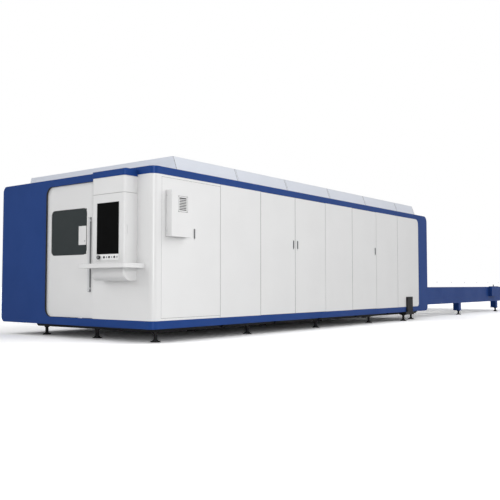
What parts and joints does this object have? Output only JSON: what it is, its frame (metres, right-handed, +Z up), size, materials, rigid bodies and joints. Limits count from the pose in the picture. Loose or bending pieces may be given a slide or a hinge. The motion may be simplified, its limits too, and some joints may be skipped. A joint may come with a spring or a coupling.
{
  "type": "fiber laser cutting machine",
  "caption": "Enclosed sheet metal laser cutter with an operator console, a sliding front door, hinged side doors, a moving gantry and a two level shuttle table.",
  "frame": {"origin": "centre of the footprint on the floor, under the middle of the whole machine with its shuttle table", "axes": "+X runs along the machine from the console end to the shuttle table, +Y from the side with the service doors to the other side, +Z up"},
  "size_m": [15.65, 3.446, 2.48],
  "materials": {
    "blue_paint": "satin powder coat",
    "white_paint": "satin powder coat",
    "roof_paint": "satin powder coat",
    "black_paint": "matte powder coat",
    "frame_paint": "primer grey paint",
    "bright_steel": "ground steel",
    "pallet_steel": "painted, scaled by heat",
    "machined_aluminium": "satin anodised",
    "grey_plastic": "fine texture",
    "window_glass": "dark laser safety glass",
    "black_plastic": "fine texture",
    "lamp_plastic": "clear lens",
    "source_paint": "satin powder coat"
  },
  "bodies": {
    "machine": {"ribbons": "blue_paint", "rear_columns": "blue_paint", "front_side_panel": "blue_paint", "console_crown": "blue_paint", "table_beams": "blue_paint", "table_legs": "blue_paint", "drive_cover": "blue_paint", "corner_post": "white_paint", "front_wall": "white_paint", "cabinet_frame": "white_paint", "right_panels": "white_paint", "left_panels": "white_paint", "rear_panels": "white_paint", "console_housing": "white_paint", "console_head": "white_paint", "keyboard_tray": "white_paint", "button_panel": "white_paint", "roof_covers": "roof_paint", "top_deck": "roof_paint", "underframe": "black_paint", "foot_pads": "black_paint", "foot_studs": "black_paint", "side_bracket": "black_paint", "enclosure_frame": "frame_paint", "bed_frame": "frame_paint", "gantry_rails": "bright_steel", "gantry_racks": "bright_steel", "pallet_rails": "bright_steel", "hinge_pins": "bright_steel", "door_rail": "bright_steel", "drive_modules": "grey_plastic", "screen": "black_plastic", "indicator_lamps": "lamp_plastic", "laser_source": "source_paint"},
    "front_door": {"sliding_door": "white_paint", "door_window": "window_glass", "door_handle": "machined_aluminium", "door_lock": "white_paint", "door_shoes": "black_plastic"},
    "cabinet_leaf": {"cabinet_door": "white_paint", "cooler_housing": "white_paint", "cooler_grille": "white_paint"},
    "fan": {"cooler_fan": "black_plastic"},
    "cabinet_lever": {"cabinet_handle": "grey_plastic"},
    "leaf_a": {"service_door_a": "white_paint"},
    "leaf_b": {"service_door_b": "white_paint"},
    "leaf_c": {"service_door_c": "white_paint"},
    "lever_a": {"service_handle_a": "grey_plastic"},
    "lever_b": {"service_handle_b": "grey_plastic"},
    "lever_c": {"service_handle_c": "grey_plastic"},
    "gantry": {"gantry_beam": "frame_paint", "cross_rails": "bright_steel"},
    "carriage": {"cross_carriage": "machined_aluminium"},
    "head": {"cutting_head": "machined_aluminium"},
    "top_pallet": {"upper_pallet": "pallet_steel"},
    "bottom_pallet": {"lower_pallet": "pallet_steel"},
    "stop_button": {"emergency_stop": "black_plastic"},
    "button_1": {"push_button_1": "black_plastic"},
    "button_2": {"push_button_2": "black_plastic"},
    "button_3": {"push_button_3": "black_plastic"}
  },
  "joints": [
    {"name": "front_door_slide", "type": "slide", "parent": "machine", "child": "front_door", "axis": [0, 1, 0], "range_m": [0, 0.9]},
    {"name": "cabinet_door_hinge", "type": "hinge", "parent": "machine", "child": "cabinet_leaf", "pos_m": [-6.145, -1.608, 1.24], "axis": [0, 0, 1], "range_deg": [0, 105]},
    {"name": "fan_spin", "type": "hinge", "parent": "cabinet_leaf", "child": "fan", "pos_m": [-7.02, -1.691, 1.817], "axis": [0, 1, 0], "continuous": true},
    {"name": "cabinet_handle_lift", "type": "hinge", "parent": "cabinet_leaf", "child": "cabinet_lever", "pos_m": [-6.682, -1.6173, 1.514], "axis": [-1, 0, 0], "range_deg": [0, 50]},
    {"name": "service_door_a_hinge", "type": "hinge", "parent": "machine", "child": "leaf_a", "pos_m": [-5.159, -1.608, 1.24], "axis": [0, 0, -1], "range_deg": [0, 105]},
    {"name": "service_door_b_hinge", "type": "hinge", "parent": "machine", "child": "leaf_b", "pos_m": [-3.29, -1.608, 1.24], "axis": [0, 0, 1], "range_deg": [0, 105]},
    {"name": "service_door_c_hinge", "type": "hinge", "parent": "machine", "child": "leaf_c", "pos_m": [-2.313, -1.608, 1.24], "axis": [0, 0, -1], "range_deg": [0, 105]},
    {"name": "service_handle_a_lift", "type": "hinge", "parent": "leaf_a", "child": "lever_a", "pos_m": [-4.277, -1.6173, 1.478], "axis": [-1, 0, 0], "range_deg": [0, 50]},
    {"name": "service_handle_b_lift", "type": "hinge", "parent": "leaf_b", "child": "lever_b", "pos_m": [-4.161, -1.6173, 1.478], "axis": [-1, 0, 0], "range_deg": [0, 50]},
    {"name": "service_handle_c_lift", "type": "hinge", "parent": "leaf_c", "child": "lever_c", "pos_m": [-1.423, -1.6173, 1.478], "axis": [-1, 0, 0], "range_deg": [0, 50]},
    {"name": "gantry_slide", "type": "slide", "parent": "machine", "child": "gantry", "axis": [1, 0, 0], "range_m": [0, 6.1]},
    {"name": "carriage_slide", "type": "slide", "parent": "gantry", "child": "carriage", "axis": [0, 1, 0], "range_m": [0, 2.2]},
    {"name": "head_slide", "type": "slide", "parent": "carriage", "child": "head", "axis": [0, 0, 1], "range_m": [-0.17, 0]},
    {"name": "upper_pallet_slide", "type": "slide", "parent": "machine", "child": "top_pallet", "axis": [1, 0, 0], "range_m": [0, 6.75]},
    {"name": "lower_pallet_slide", "type": "slide", "parent": "machine", "child": "bottom_pallet", "axis": [1, 0, 0], "range_m": [-6.75, 0]},
    {"name": "emergency_stop_press", "type": "slide", "parent": "machine", "child": "stop_button", "axis": [1, 0, 0], "range_m": [0, 0.006], "stiffness_N_per_m": 500},
    {"name": "push_button_1_press", "type": "slide", "parent": "machine", "child": "button_1", "axis": [1, 0, 0], "range_m": [0, 0.004], "stiffness_N_per_m": 300},
    {"name": "push_button_2_press", "type": "slide", "parent": "machine", "child": "button_2", "axis": [1, 0, 0], "range_m": [0, 0.004], "stiffness_N_per_m": 300},
    {"name": "push_button_3_press", "type": "slide", "parent": "machine", "child": "button_3", "axis": [1, 0, 0], "range_m": [0, 0.004], "stiffness_N_per_m": 300}
  ],
  "couplings": [
    {"joint": "lower_pallet_slide", "follows": "upper_pallet_slide", "ratio": -1}
  ]
}
